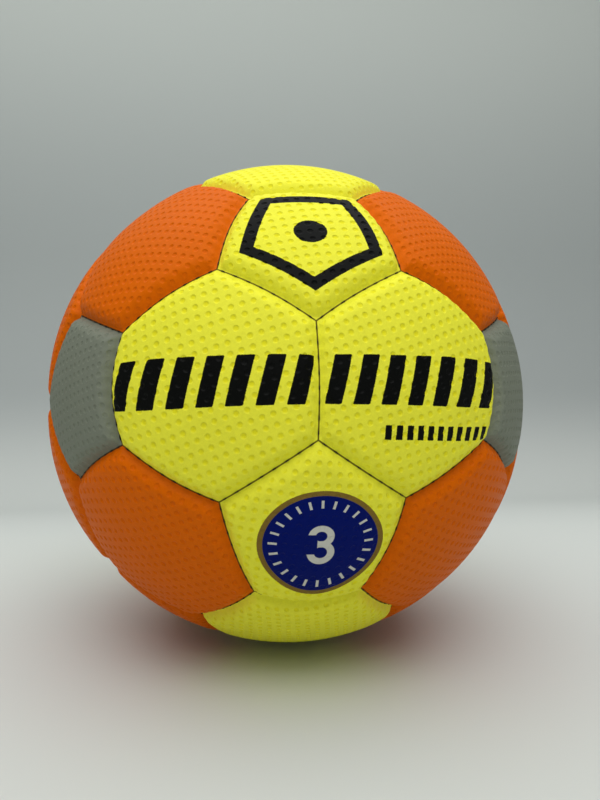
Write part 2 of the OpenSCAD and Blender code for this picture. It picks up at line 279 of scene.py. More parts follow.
class Panel:
    """One panel: its node's name, shape, colour and frame, whose +X leads to the middle of one seam."""

    def __init__(self, words, weights, shape, colour, number):
        self.name = "_".join(words) + "_" + shape
        self.shape, self.colour, self.number = shape, colour, number
        way = Vector((0, 0, 0))
        for word, weight in zip(words, weights):
            axis, sign = WAYS[word]
            way[axis] = sign * weight
        self.way = way.normalized()

    def hexagons_beside(self, panels):
        return [p for p in panels
                if p is not self and p.shape == "hexagon" and between(self.way, p.way) < NEIGHBOUR_ANGLE]

    def face(self, towards):
        """Sets the frame's axes, and the level ones that the maps follow: right and up, seen from outside."""
        z = self.way
        x = unit(towards - z * towards.dot(z))
        self.axes = np.array([x, z.cross(x), z])
        right = unit(UP.cross(z))
        level = np.array([right, z.cross(right)])
        self.level = level @ self.axes[:2].T

    @property
    def dimple_turn(self):
        spread = (self.number * TURN_STEP) % TURN_SPREAD - TURN_SPREAD / 2
        return math.radians(DIMPLE_TURNS.get(self.name, spread))

    @property
    def dimple_shift(self):
        return np.array([self.number * PHI % 1, self.number * PHI * PHI % 1])


def all_panels():
    panels = []
    for words, weights, shape, colour in FAMILIES:
        for chosen in itertools.product(*(w.split() for w in words)):
            panels.append(Panel(chosen, weights, shape, colour, len(panels)))
    for panel in panels:
        panel.face(panel.hexagons_beside(panels)[0].way)
    return panels


PANELS = all_panels()


def seam_axes(first, second):
    """The way out through the middle of a seam, and the way from its first panel into the second."""
    towards = unit(second.way - first.way * second.way.dot(first.way))
    reach = REACH[first.shape]
    out = math.sin(reach) * towards + math.cos(reach) * first.way
    return out, math.cos(reach) * towards - math.sin(reach) * first.way


def all_pulls():
    """The middle of each seam that is off its place, and how far it is pulled, both as rows of an array."""
    named = {p.name: p for p in PANELS}
    middles, pulls = [], []
    for first, second, amount in ((a, b, PULLS[a][b]) for a in PULLS for b in PULLS[a]):
        for pair in ((first, second), (half_turned(first), half_turned(second))):
            middle, across = seam_axes(*(named[name] for name in pair))
            middles.append(middle)
            pulls.append(across * (amount * MM))
    return np.array(middles), np.array(pulls)


def half_turned(name):
    """The panel that lies where this one does once the ball is turned half round."""
    return "_".join(HALF_TURN.get(word, word) for word in name.split("_"))


SEAM_MIDDLES, SEAM_PULLS = all_pulls()


def pulled(places):
    """Places moved round the ball as the seams near them are. Their distances from its centre stay."""
    radii = lengths(places)[:, None]
    ways = places / radii
    angles = np.arccos(np.clip(ways @ SEAM_MIDDLES.T, -1, 1))
    shares = np.clip(1 - (angles / PULL_SPREAD) ** 2, 0, 1) ** 4
    moved = ways + shares @ SEAM_PULLS / CAD_HIGH.z
    return moved / lengths(moved)[:, None] * radii


def read_places(mesh):
    places = np.empty(len(mesh.vertices) * 3)
    mesh.vertices.foreach_get("co", places)
    return places.reshape(-1, 3)


def write_places(mesh, places):
    mesh.vertices.foreach_set("co", places.astype(np.float32).ravel())
    mesh.update()


def lengths(rows):
    return np.linalg.norm(rows, axis=1)


def node_radii(name):
    """The least and the greatest distance of a CAD node from the ball's centre."""
    radii = lengths(read_places(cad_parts[name].data))
    return radii.min(), radii.max()


def smooth(x, low, high):
    """0 below low, 1 above high, and a smooth step between."""
    t = np.clip((x - low) / (high - low), 0, 1)
    return t * t * (3 - 2 * t)


def soft_limit(x, limit, power=8):
    """x while it is small, and never more than the limit."""
    return x / (1 + (x / limit) ** power) ** (1 / power)


class Form:
    """The shape that all the panels with the same number of sides share. Its sheet is the panel laid flat."""

    def __init__(self, shape, cover):
        self.cover = cover
        self.sides, self.reach = SIDES[shape], REACH[shape]
        example = next(p.name for p in PANELS if p.shape == shape)
        self.foot_radius, self.crown = node_radii(example)
        swell = cover.hexagon_swell if shape == "hexagon" else cover.pentagon_swell
        self.edge = self.crown - swell
        drop = self.crown - self.edge * math.cos(self.reach)
        self.offset = (self.crown ** 2 - self.edge ** 2) / (2 * drop)
        self.dome = self.crown - self.offset
        turns = np.arange(self.sides) * 2 * math.pi / self.sides
        self.outward = np.stack([np.cos(turns), np.sin(turns)], axis=1)
        self.along = np.stack([-np.sin(turns), np.cos(turns)], axis=1)
        self.seams = np.column_stack([-math.cos(self.reach) * self.outward,
                                      np.full(self.sides, math.sin(self.reach))])
        self.width = self.width_with(cover.seam_gap / 2, cover.shoulder)

    def width_with(self, wall, shoulder, straight=0):
        """Width of the sheet from its middle to its edge, for a shoulder that ends in a straight part."""
        flat = self.reach - math.asin((wall + shoulder) / self.crown)
        return straight + shoulder * math.pi / 2 + flat * self.crown

    def place(self, flat, inset):
        """Directions and radii for points of the flat polygon, and their distances from the sheet's edge.
        inset is 0 for the face and the wall's thickness for the back."""
        cover = self.cover
        wall = cover.seam_gap / 2 + inset
        shoulder, straight = cover.shoulder, 0
        if inset:
            shoulder = cover.back_shoulder
            straight = self.edge - inset - shoulder - self.foot_radius
        width = self.width_with(wall, shoulder, straight)
        nearest = (flat @ self.outward.T).max(axis=1)
        from_edge = (1 - nearest) * width
        rolled = np.clip((from_edge - straight) / shoulder, 0, math.pi / 2)
        on_dome = np.maximum(from_edge - straight - shoulder * math.pi / 2, 0) / self.crown
        angle = self.reach - np.arcsin((wall + shoulder * (1 - np.cos(rolled))) / self.crown) - on_dome
        stretch = np.tan(angle) / np.maximum(nearest, TINY)
        ways = np.column_stack([flat * stretch[:, None], np.ones(len(flat))])
        ways /= lengths(ways)[:, None]
        sine_squared = 1 - ways[:, 2] ** 2
        radii = self.offset * ways[:, 2] - inset + np.sqrt(self.dome ** 2 - self.offset ** 2 * sine_squared)
        across = radii[:, None] * (ways @ self.seams.T)
        rise = np.clip((across - wall) / shoulder, 0, 1)
        drops = shoulder * (1 - np.sqrt(1 - (1 - rise) ** 2))
        drop = (drops ** cover.corner_power).sum(axis=1) ** (1 / cover.corner_power)
        radii -= drop if inset else soft_limit(drop, cover.groove)
        if straight:
            radii -= np.clip(straight - from_edge, 0, straight)
        return ways, radii, from_edge


def only(kind, geometry):
    """The vertices or the edges among what an operator made."""
    return [g for g in geometry if isinstance(g, kind)]


def edges_in(groups):
    """The edges of several groups, each of them once."""
    return list(dict.fromkeys(itertools.chain.from_iterable(groups)))


def sort_parts(parts, place):
    """Sorts the vertices, edges or faces of a bmesh by the place that is given for each."""
    ranks = {part: rank for rank, part in enumerate(sorted(parts, key=place))}
    parts.sort(key=lambda part: ranks[part])
    parts.index_update()


def finished(mesh, name):
    """Turns the faces of a bmesh outwards, makes them smooth and puts them into a new mesh. All parts are
    sorted by place first, because extruding leaves them in an order that changes from run to run."""
    sort_parts(mesh.verts, lambda v: v.co[:])
    for parts in (mesh.edges, mesh.faces):
        sort_parts(parts, lambda part: sorted(v.index for v in part.verts))
    bmesh.ops.recalc_face_normals(mesh, faces=mesh.faces)
    for face in mesh.faces:
        face.smooth = True
    made = bpy.data.meshes.new(name)
    mesh.to_mesh(made)
    mesh.free()
    return made


def add_object(name, data):
    made = bpy.data.objects.new(name, data)
    bpy.context.scene.collection.objects.link(made)
    return made


def add_piece(name, mesh, node, slot):
    """A piece that rides on the ball and stands for a CAD node, which it hides. The slot is not used."""
    piece = add_object(name, mesh)
    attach(piece, "root")
    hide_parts(node)


def add_polygon(mesh, sides, rows, level):
    """Adds a flat polygon of triangles whose sides lie 1 from its middle, the first of them across +X."""
    before = set(mesh.faces)
    corner = 1 / math.cos(math.pi / sides)
    made = bmesh.ops.create_circle(mesh, cap_ends=True, cap_tris=True, segments=sides, radius=corner)["verts"]
    turn = Matrix.Rotation(math.pi / sides - math.pi / 2, 3, "Z")
    bmesh.ops.rotate(mesh, cent=(0, 0, 0), matrix=turn, verts=made)
    bmesh.ops.translate(mesh, vec=(0, 0, level), verts=made)
    edges = edges_in(v.link_edges for v in made)
    bmesh.ops.subdivide_edges(mesh, edges=edges, cuts=rows - 1, use_grid_fill=True)
    return [f for f in mesh.faces if f not in before]


def rim_of(faces):
    return [e for e in edges_in(f.edges for f in faces) if e.is_boundary]


def flat_panel(sides, rows, back_rows, hole_ring=0):
    """A closed panel before it is bent: its face, the outer side of its turned-in edge, and its back.
    hole_ring is the number of the ring of faces, counted from the middle, that the valve hole ends at."""
    mesh = bmesh.new()
    face = add_polygon(mesh, sides, rows, FACE_LEVEL)
    foot = bmesh.ops.extrude_edge_only(mesh, edges=rim_of(face))["geom"]
    foot_rim = [e for e in only(bmesh.types.BMEdge, foot) if e.is_boundary]
    down = (0, 0, FOOT_LEVEL - FACE_LEVEL)
    bmesh.ops.translate(mesh, vec=down, verts=only(bmesh.types.BMVert, foot))
    back = add_polygon(mesh, sides, back_rows, BACK_LEVEL)
    bmesh.ops.reverse_faces(mesh, faces=back)
    joint = bmesh.ops.bridge_loops(mesh, edges=foot_rim + rim_of(back))["faces"]
    for part in back + joint:
        part.material_index = 1
    if hole_ring:
        open_hole(mesh, sides, rows, back_rows, hole_ring)
    return finished(mesh, "flat_panel")


def open_hole(mesh, sides, rows, back_rows, ring):
    """Cuts the middle out of face and back, and joins their rims."""
    turns = [k * 2 * math.pi / sides for k in range(sides)]
    rims = []
    for level, count in ((FACE_LEVEL, rows), (BACK_LEVEL, back_rows)):
        limit = (ring + 0.5) / count

        def inside(v):
            return (abs(v.co.z - level) < 0.5
                    and max(v.co.x * math.cos(t) + v.co.y * math.sin(t) for t in turns) < limit)

        middle = [f for f in mesh.faces if all(inside(v) for v in f.verts)]
        bmesh.ops.delete(mesh, geom=middle, context="FACES")
        rims += [e for e in mesh.edges if e.is_boundary and e not in rims]
    for part in bmesh.ops.bridge_loops(mesh, edges=rims)["faces"]:
        part.material_index = 0


def turned(places, angle):
    """Flat places turned about the middle."""
    c, s = math.cos(angle), math.sin(angle)
    return places @ np.array([[c, s], [-s, c]])


class Dimples:
    """The square pattern of dimples on one panel's sheet."""

    def __init__(self, panel, form):
        self.panel, self.form, self.cover = panel, form, form.cover
        self.turn, self.shift = panel.dimple_turn, panel.dimple_shift

    def cells(self, sheet):
        """Places counted in dimples. They are levelled first, as the turn is against the level."""
        return turned(sheet @ self.panel.level.T, -self.turn) / self.cover.dimple_pitch + self.shift

    def centres(self, cells):
        """The middle of the dimple that lies nearest to each place, on the sheet."""
        return turned((np.round(cells) - self.shift) * self.cover.dimple_pitch, self.turn) @ self.panel.level

    def gather(self, sheet, fade=(0.5, 1.5), middle_reach=0.98, rim_push=0.15, rim_reach=1.4):
        """Moves the sheet's places so that one lies on each dimple's middle and a ring lies on its rim."""
        more_than_across = 1000
        cells = np.round(self.cells(sheet))
        centres = self.centres(cells)
        away = lengths(sheet - centres)
        key = cells[:, 0] * more_than_across + cells[:, 1]
        order = np.lexsort((away, key))
        _, first, which = np.unique(key[order], return_index=True, return_inverse=True)
        nearest = order[first]
        nudge = np.empty_like(sheet)
        nudge[order] = (centres[nearest] - sheet[nearest])[which]
        radius = self.cover.dimple_radius
        half = self.cover.dimple_pitch / 2
        held = self.edge_fade(sheet, fade)
        hold = (1 - smooth(away, radius, middle_reach * half)) * held
        sheet = sheet + nudge * hold[:, None]
        spoke = sheet - centres
        away = np.maximum(lengths(spoke), TINY)
        ring = np.sin(math.pi * np.clip(away / (rim_reach * radius), 0, 1)) ** 2
        push = rim_push * radius * ring * held
        return sheet + spoke * (push / away)[:, None]

    def edge_fade(self, sheet, fade):
        """0 at the panel's edge and 1 inside it, with a smooth step between two distances in millimetres."""
        width = self.form.width
        nearest = (sheet / width @ self.form.outward.T).max(axis=1)
        return smooth((1 - nearest) * width, fade[0] * MM, fade[1] * MM)

    def depths(self, sheet, flat_share=0.35):
        """How deep each place lies in a dimple."""
        centres = self.centres(self.cells(sheet))
        radius = self.cover.dimple_radius
        cup = 1 - smooth(lengths(sheet - centres), flat_share * radius, radius)
        return self.cover.dimple_depth * cup * self.edge_fade(centres, PLAIN_RIM) * self.shares(centres)

    def shares(self, centres, under_roundel=0.15, on_grey=0.45):
        """The share of its depth that each dimple has. None is cut by the valve hole, and the transfer of the
        roundel fills those that it covers."""
        if self.panel.name == VALVE_PANEL:
            hole = self.cover.valve_hole
            return smooth(lengths(centres), hole + 1 * MM, hole + 1.4 * MM)
        if self.panel.name == ROUNDEL_PANEL:
            radius = bpy.context.scene.handball_print.roundel_radius
            away = lengths(centres @ self.panel.level.T - np.array(ROUNDEL_MIDDLE) * MM)
            outside = smooth(away, radius - 0.5 * MM, radius + 1.5 * MM)
            return under_roundel + (1 - under_roundel) * outside
        return np.full(len(centres), on_grey if self.panel.colour == "grey" else 1)


def scallops(flat, from_edge, form, line=4.4 * MM, spread=2.8 * MM):
    """How far the stitches draw the panel in beside its seams. It is most on a line beside the edge."""
    cover = form.cover
    reach = flat @ form.outward.T
    side = reach.argmax(axis=1)
    nearest = np.maximum(reach.max(axis=1), TINY)
    along = (flat * form.along[side]).sum(axis=1) / (nearest * math.tan(math.pi / form.sides))
    pull = (1 - np.cos(math.pi * cover.stitches * (along + 1))) / 2
    return cover.scallop * pull * np.exp(-((from_edge - line) / spread) ** 2)


def write_map(mesh, name, values):
    """Gives the mesh a UV map with one value for each vertex."""
    corners = np.empty(len(mesh.loops), np.int32)
    mesh.loops.foreach_get("vertex_index", corners)
    uv = mesh.uv_layers.new(name=name)
    uv.data.foreach_set("uv", values[corners].astype(np.float32).ravel())


def build_panel(panel, form, template, materials):
    """Bends a copy of the flat template into one panel of the ball."""
    cover = form.cover
    mesh = template.copy()
    mesh.name = panel.name + "_leather"
    plan = read_places(mesh)
    flat, level = plan[:, :2], plan[:, 2]
    face = level > FOOT_LEVEL / 2
    back = level < (FOOT_LEVEL + BACK_LEVEL) / 2
    width = form.width
    dimples = Dimples(panel, form)
    has_hole = panel.name == VALVE_PANEL

    sheet, flat_back = flat * width, flat[back]
    if has_hole:
        sheet = round_middle(sheet, form)
        flat_back = sheet[back] / width
    sheet[face] = dimples.gather(sheet[face])
    ways, radii, from_edge = form.place(sheet / width, 0)
    if has_hole:
        lip = 0.5 * MM
        out = np.clip((lengths(sheet) - cover.valve_hole) / lip, 0, 1)
        radii -= np.where(face, lip * (1 - np.sqrt(1 - (1 - out) ** 2)), 0)
    ways[back], radii[back], _ = form.place(flat_back, cover.wall)
    radii[~face & ~back] = form.foot_radius

    places = pulled((ways * radii[:, None]) @ panel.axes)
    write_places(mesh, places)
    normals = np.empty(len(mesh.vertices) * 3, np.float32)
    mesh.vertex_normals.foreach_get("vector", normals)
    sunk = dimples.depths(sheet) + scallops(flat, from_edge, form)
    write_places(mesh, places - normals.reshape(-1, 3) * np.where(face, sunk, 0)[:, None])

    between_dimples = 0.5
    write_map(mesh, SHEET_MAP, sheet @ panel.level.T / MM)
    write_map(mesh, DIMPLE_MAP, np.where(face[:, None], dimples.cells(sheet), between_dimples))
    distance = mesh.attributes.new(SEAM_DISTANCE, "FLOAT", "POINT")
    distance.data.foreach_set("value", (np.where(face, from_edge, 0) / MM).astype(np.float32))
    for material in materials:
        mesh.materials.append(material)
    mesh.update()
    add_piece(panel.name + "_cover", mesh, panel.name, panel.colour + "_cover")


def ring_at_hole(form):
    """The number of the ring of faces that lies nearest to the valve hole's edge."""
    return round(form.cover.valve_hole / form.width * form.cover.rows)


def round_middle(sheet, form):
    """Makes the rings of faces near the middle circles, and puts one of them on the valve hole's edge."""
    ring_radius = ring_at_hole(form) * form.width / form.cover.rows
    inner = (sheet @ form.outward.T).max(axis=1)
    away = np.maximum(lengths(sheet), TINY)
    blend = smooth(inner, ring_radius, 3 * ring_radius)
    wanted = (1 - blend) * inner * form.cover.valve_hole / ring_radius + blend * away
    return sheet * (wanted / away)[:, None]


class Shade:
    """An output of a node. Arithmetic on it adds Math nodes."""

    def __init__(self, graph, socket):
        self.graph, self.socket = graph, socket

    def math(self, operation, *values):
        return self.graph.add("ShaderNodeMath", {"operation": operation}, dict(enumerate(values)))

    def __add__(self, other):
        return self.math("ADD", self, other)

    def __sub__(self, other):
        return self.math("SUBTRACT", self, other)

    def __rsub__(self, other):
        return self.math("SUBTRACT", other, self)

    def __mul__(self, other):
        return self.math("MULTIPLY", self, other)

    def __truediv__(self, other):
        return self.math("DIVIDE", self, other)

    def __pow__(self, other):
        return self.math("POWER", self, other)

    def __abs__(self):
        return self.math("ABSOLUTE", self)

    def __and__(self, other):
        return self.math("MINIMUM", self, other)

    def __or__(self, other):
        return self.math("MAXIMUM", self, other)

    __radd__, __rmul__ = __add__, __mul__

    def near_cell(self):
        """Distance from the nearest whole number, with its sign."""
        return self - self.math("ROUND", self)

    def step(self, low, high):
        """0 at low, 1 at high and a smooth step between. low may be above high."""
        return self.graph.add(
            "ShaderNodeMapRange", {"interpolation_type": "SMOOTHSTEP"},
            {"Value": self, "From Min": low, "From Max": high})

    def length(self, other):
        """Distance of the point (self, other) from the origin."""
        return (self * self + other * other) ** 0.5


class Graph:
    """The nodes of one material."""

    def __init__(self, name):
        self.material = bpy.data.materials.new(name)
        self.material.use_nodes = True
        self.tree = self.material.node_tree
        self.tree.nodes.clear()

    def add(self, kind, settings, sockets, output=0):
        """Adds a node, sets it up, fills or links its sockets, and returns one of its outputs."""
        made = self.tree.nodes.new(kind)
        for name, value in settings.items():
            setattr(made, name, value)
        for name, value in sockets.items():
            if isinstance(value, Shade):
                self.tree.links.new(value.socket, made.inputs[name])
            else:
                made.inputs[name].default_value = value
        return Shade(self, made.outputs[output]) if made.outputs else None

    def parts(self, vector):
        """The first two parts of a vector."""
        return [self.add("ShaderNodeSeparateXYZ", {}, {0: vector}, k) for k in range(2)]

    def place(self):
        return self.add("ShaderNodeTexCoord", {}, {}, "Object")

    def map(self, name):
        return self.parts(self.add("ShaderNodeUVMap", {"uv_map": name}, {}))

    def noise(self, size, detail=2.0):
        """Noise round 0 with features of about that size in metres."""
        sockets = {"Vector": self.place(), "Scale": 1 / size, "Detail": detail}
        return self.add("ShaderNodeTexNoise", {}, sockets) - 0.5

    def mix(self, share, a, b):
        """Colour b over colour a, as much as share says."""
        return self.add("ShaderNodeMix", {"data_type": "RGBA"}, {0: share, 6: opaque(a), 7: opaque(b)}, 2)

    def tinted(self, colour, value):
        """The colour made darker or lighter by a value round 1."""
        grey = self.add("ShaderNodeCombineXYZ", {}, {0: value, 1: value, 2: value})
        first = colour if isinstance(colour, Shade) else tuple(colour)
        return self.add("ShaderNodeVectorMath", {"operation": "MULTIPLY"}, {0: first, 1: grey})

    def bump(self, height):
        """A bumped normal for a height in millimetres."""
        return self.add("ShaderNodeBump", {}, {"Height": height, "Distance": MM, "Strength": 1.0})

    def finish(self, colour, roughness, height=None, specular=0.5):
        """The material, with bumps where a height in millimetres is given."""
        sockets = {"Base Color": opaque(colour), "Roughness": roughness, "Specular IOR Level": specular}
        if height is not None:
            sockets["Normal"] = self.bump(height)
        shader = self.add("ShaderNodeBsdfPrincipled", {}, sockets)
        self.add("ShaderNodeOutputMaterial", {}, {"Surface": shader})
        return self.material


def opaque(colour):
    """A colour as a socket takes it: three numbers are given an alpha of 1."""
    return colour if isinstance(colour, Shade) else (*colour, 1)


# What each channel of a cover's colour keeps down in a dimple: painted shade and painted bounced light inside
# the pit
PIT_SHADE_SHARES = {"yellow": (0.95, 0.90, 0.25), "orange": (0.97, 0.92, 0.6), "grey": (0.93, 0.94, 0.91)}


def leather(name, dye, print_on=None):
    """Dimpled synthetic leather: fine grain, dull dimples with painted shade, painted shade with some grime
    in the seams, and a print if one is given.
    """
    # Painted shade in the seams' grooves, with some grime, sets in between these two distances from the
    # sheet's edge, in millimetres
    seam_shade_and_grime_line, seam_shade_and_grime_colour = (1.85, 1.25), (0.07, 0.04, 0.008)
    cover = bpy.context.scene.handball_cover
    colour = tuple(getattr(cover, dye))
    graph = Graph(name)
    seam = graph.add("ShaderNodeAttribute", {"attribute_name": SEAM_DISTANCE}, {}, "Fac")
    across, down = (part.near_cell() for part in graph.map(DIMPLE_MAP))
    away = across.length(down) * (cover.dimple_pitch / cover.dimple_radius)  # 1 on a dimple's rim
    pit = away.step(1.0, 0.5) * seam.step(*PLAIN_RIM)
    rim = away.step(1.35, 1.0) * away.step(0.8, 1.0)
    grain = graph.noise(0.35 * MM, 3.0)
    mottle = graph.noise(1.3 * MM, 3.0)
    cloud = graph.noise(14 * MM, 2.0)

    # The rim term in the tone paints a faint highlight round each dimple
    tone = 1 + 0.16 * mottle + 0.16 * grain + 0.10 * cloud + 0.02 * rim
    # Painted shade in the dimples: the colour goes darker and deeper towards each pit's bottom
    deep = tuple(c * share for c, share in zip(colour, PIT_SHADE_SHARES[dye]))
    base = graph.tinted(graph.mix(pit * 0.8, colour, deep), tone)
    roughness = 0.46 + 0.10 * mottle + 0.06 * pit
    height = 0.030 * grain + 0.022 * mottle - 0.15 * pit + 0.02 * rim
    if print_on:
        base, roughness = print_on(graph, base, roughness, seam, grain)
    # Painted shade in each seam's groove, partly grime: dark brown towards the sheet's edge
    seam_shade_and_grime = (seam + 0.4 * mottle).step(*seam_shade_and_grime_line)
    return graph.finish(graph.mix(seam_shade_and_grime * 0.85, base, seam_shade_and_grime_colour), roughness, height, specular=0.05)


def ink_over(graph, base, roughness, distance, grain):
    """Black ink where distance, in millimetres, is below 0. Its edge follows the grain."""
    ink = bpy.context.scene.handball_print.ink
    mask = (distance + 0.35 * grain).step(0.10, -0.10)
    body = graph.tinted(ink, 1 + 1.2 * grain)
    return graph.mix(mask, base, body), roughness - 0.08 * mask


def box_distance(x, y, half_width, half_height, rounding=0.5):
    """Distance from a rounded box round the origin, in millimetres."""
    out_x = (abs(x) - (half_width - rounding)) | 0.0
    out_y = (abs(y) - (half_height - rounding)) | 0.0
    return out_x.length(out_y) - rounding


def bars(side):
    """A band of slanted bars across one of the two front hexagons, with a row of ticks below the right one.
    side is -1 for the left one and 1 for the right. Lengths are in millimetres, as in the other prints."""
    bars_aside, inwards = 3.5, 0.8
    tick_pitch, tick_half_width, tick_half_height = 3.9, 1.15, 2.3
    row_drop, row_middle, row_half_length = 16.3, 7.8, 21.45

    def draw(graph, base, roughness, seam, grain):
        sizes = bpy.context.scene.handball_print
        x, y = graph.map(SHEET_MAP)
        pitch = sizes.bar_pitch / MM
        lean = x + side * inwards - y * math.tan(sizes.bar_slant)
        cell = (lean / pitch).near_cell() * pitch
        bar = box_distance(cell, y, sizes.bar_width / MM / 2, sizes.bar_height / MM / 2)
        distance = bar | (abs(lean) - bars_aside * pitch)
        if side > 0:
            tick = (x / tick_pitch).near_cell() * tick_pitch
            row = box_distance(tick, y + row_drop, tick_half_width, tick_half_height, 0.3)
            distance = distance & (row | (abs(x - row_middle) - row_half_length))
        return ink_over(graph, base, roughness, distance, grain)
    return draw


def ring_and_dot(graph, base, roughness, seam, grain):
    """A pentagonal ring that follows the panel's seams, with a dot in the middle."""
    from_seam, half_width, dot_radius = 12.4, 2.1, 5.2
    x, y = graph.map(SHEET_MAP)
    ring = abs(seam - from_seam) - half_width
    return ink_over(graph, base, roughness, ring & (x.length(y) - dot_radius), grain)


def roundel(graph, base, roughness, seam, grain):
    """A navy disc with a gold rim, the ticks of a dial and the ball's size as a plain numeral 3."""
    rim_width, rim_edge = 1.75, 0.1
    tick_share, tick_middle, tick_half_length, tick_half_width = 2 * math.pi / 24, 14.8, 1.4, 0.42
    stroke, opening_line, opening_rise = 2.2, 1.1, 0.6
    # The middle and the radius of each bow of the numeral, and the way up or down that it bulges
    bows = ((3.05, 2.9, 1), (-2.85, 3.1, -1))

    sizes = bpy.context.scene.handball_print
    radius = sizes.roundel_radius / MM
    x, y = graph.map(SHEET_MAP)
    x, y = x - ROUNDEL_MIDDLE[0], (y - ROUNDEL_MIDDLE[1]) * ROUNDEL_STRETCH
    away = x.length(y)
    disc = (away + 0.2 * grain).step(radius + 0.1, radius - 0.1)
    field = (away + 0.1 * grain).step(radius - rim_width + rim_edge, radius - rim_width - rim_edge)
    tick = abs((x.math("ARCTAN2", x, y) / tick_share).near_cell()) * tick_share * away - tick_half_width
    marks = tick | (abs(away - tick_middle) - tick_half_length)
    for middle, bow_radius, way in bows:
        rise = y - middle
        opening = (0 - x - opening_line) & (opening_rise - way * rise)
        marks = marks & ((abs(x.length(rise) - bow_radius) - stroke / 2) | opening)
    marks = marks.step(0.08, -0.08)
    base = graph.mix(disc, base, graph.tinted(sizes.gold, 1 + 0.5 * grain))
    base = graph.mix(field, base, graph.tinted(sizes.navy, 1 + 0.3 * grain))
    base = graph.mix(marks * field, base, sizes.white)
    return base, roughness - 0.06 * disc


PRINTS = {
    "front_left_hexagon": bars(-1),
    "front_right_hexagon": bars(1),
    "front_upper_pentagon": ring_and_dot,
    ROUNDEL_PANEL: roundel,
}


def build_panels(shape):
    """Makes the panels of one shape. Those without a print share one leather for each colour."""
    scene = bpy.context.scene
    cover = scene.handball_cover
    form = Form(shape, cover)
    template = flat_panel(form.sides, cover.rows, cover.back_rows)
    backing = woven("panel_backing_cloth", scene.handball_inside.panel_back)
    leathers = {}
    for panel in (p for p in PANELS if p.shape == shape):
        name = panel.name if panel.name in PRINTS else panel.colour + "_" + shape
        if name not in leathers:
            leathers[name] = leather(name + "_leather", panel.colour, PRINTS.get(panel.name))
        source = template
        if panel.name == VALVE_PANEL:
            # Its back has as many rows as its face, so that the two rims of the hole match
            source = flat_panel(form.sides, cover.rows, cover.rows, ring_at_hole(form))
        build_panel(panel, form, source, (leathers[name], backing))


def seam_frames(shape):
    """The frame of each seam of a pentagon, or of each seam between two hexagons: out through the seam's
    middle, along it, and into the first panel."""
    frames = []
    for panel in (p for p in PANELS if p.shape == shape):
        for other in panel.hexagons_beside(PANELS):
            if shape == "hexagon" and other.number < panel.number:
                continue
            out, across = seam_axes(panel, other)
            frames.append(Matrix([out, out.cross(across), -across]).transposed().to_4x4())
    return frames


def seam_thread(thread, cover, form, facets=8, bends=14, show_rings=6):
    """The thread of one seam: a run on each side of the two walls, the stitches between them, and the short
    lengths that show in the groove."""
    mesh = bmesh.new()
    depth_radius = form.edge - thread.depth
    show_radius = form.edge - cover.groove + thread.drawn_radius / 2
    last = HALF_SEAM * (1 - 1 / cover.stitches)
    run = cover.seam_gap / 2 + cover.wall + thread.clearance + thread.radius
    for side in (-1, 1):
        start = Matrix.Rotation(-last, 4, "Z") @ Matrix.Translation((depth_radius, 0, side * run))
        start = start @ Matrix.Rotation(math.pi / 2, 4, "X")
        ring = bmesh.ops.create_circle(mesh, segments=facets, radius=thread.radius, matrix=start)["verts"]
        edges = edges_in(v.link_edges for v in ring)
        spun = bmesh.ops.spin(
            mesh, geom=ring + edges, cent=(0, 0, 0), axis=(0, 0, 1), angle=2 * last, steps=bends)
        for end in (edges, only(bmesh.types.BMEdge, spun["geom_last"])):
            bmesh.ops.contextual_create(mesh, geom=end)
    for k in range(cover.stitches):
        turn = Matrix.Rotation(HALF_SEAM * ((2 * k + 1) / cover.stitches - 1), 4, "Z")
        bmesh.ops.create_cone(
            mesh, cap_ends=True, segments=facets, radius1=thread.drawn_radius, radius2=thread.drawn_radius,
            depth=2 * run, matrix=turn @ Matrix.Translation((depth_radius, 0, 0)))
        shape = Matrix.Diagonal((thread.drawn_radius, thread.show_length / 2, thread.drawn_radius, 1))
        there = turn @ Matrix.Translation((show_radius, 0, 0)) @ shape
        bmesh.ops.create_uvsphere(mesh, u_segments=facets, v_segments=show_rings, radius=1, matrix=there)
    return finished(mesh, "one_seam")


def build_thread(shape):
    scene = bpy.context.scene
    one = seam_thread(scene.handball_thread, scene.handball_cover, Form(shape, scene.handball_cover))
    whole = bmesh.new()
    for place in seam_frames(shape):
        before = len(whole.verts)
        whole.from_mesh(one)
        whole.verts.ensure_lookup_table()
        bmesh.ops.transform(whole, matrix=place, verts=whole.verts[before:])
    mesh = bpy.data.meshes.new(shape + "_thread")
    whole.to_mesh(mesh)
    whole.free()
    write_places(mesh, pulled(read_places(mesh)))
    mesh.materials.append(waxed_thread(scene.handball_thread.colour))
    add_piece(shape + "_stitching", mesh, shape + "_seam_thread", "thread")


def build_backing(node, material, slot):
    """A layer behind the panels: the CAD layer with its edges moved as the seams are."""
    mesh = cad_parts[node].data.copy()
    mesh.name = node + "_layer"
    merged = bmesh.new()
    merged.from_mesh(mesh)
    bmesh.ops.remove_doubles(merged, verts=merged.verts, dist=0.001 * MM)
    merged.to_mesh(mesh)
    merged.free()
    write_places(mesh, pulled(read_places(mesh)))
    mesh.materials.clear()
    mesh.materials.append(material)
    add_piece(node + "_sheets", mesh, node, slot)


def waxed_thread(colour):
    graph = Graph("waxed_thread")
    fibre = graph.noise(0.15 * MM, 3.0)
    base = graph.tinted(colour, 1 + 1.2 * fibre)
    return graph.finish(base, 0.55 + 0.2 * fibre, 0.03 * fibre, specular=0.2)


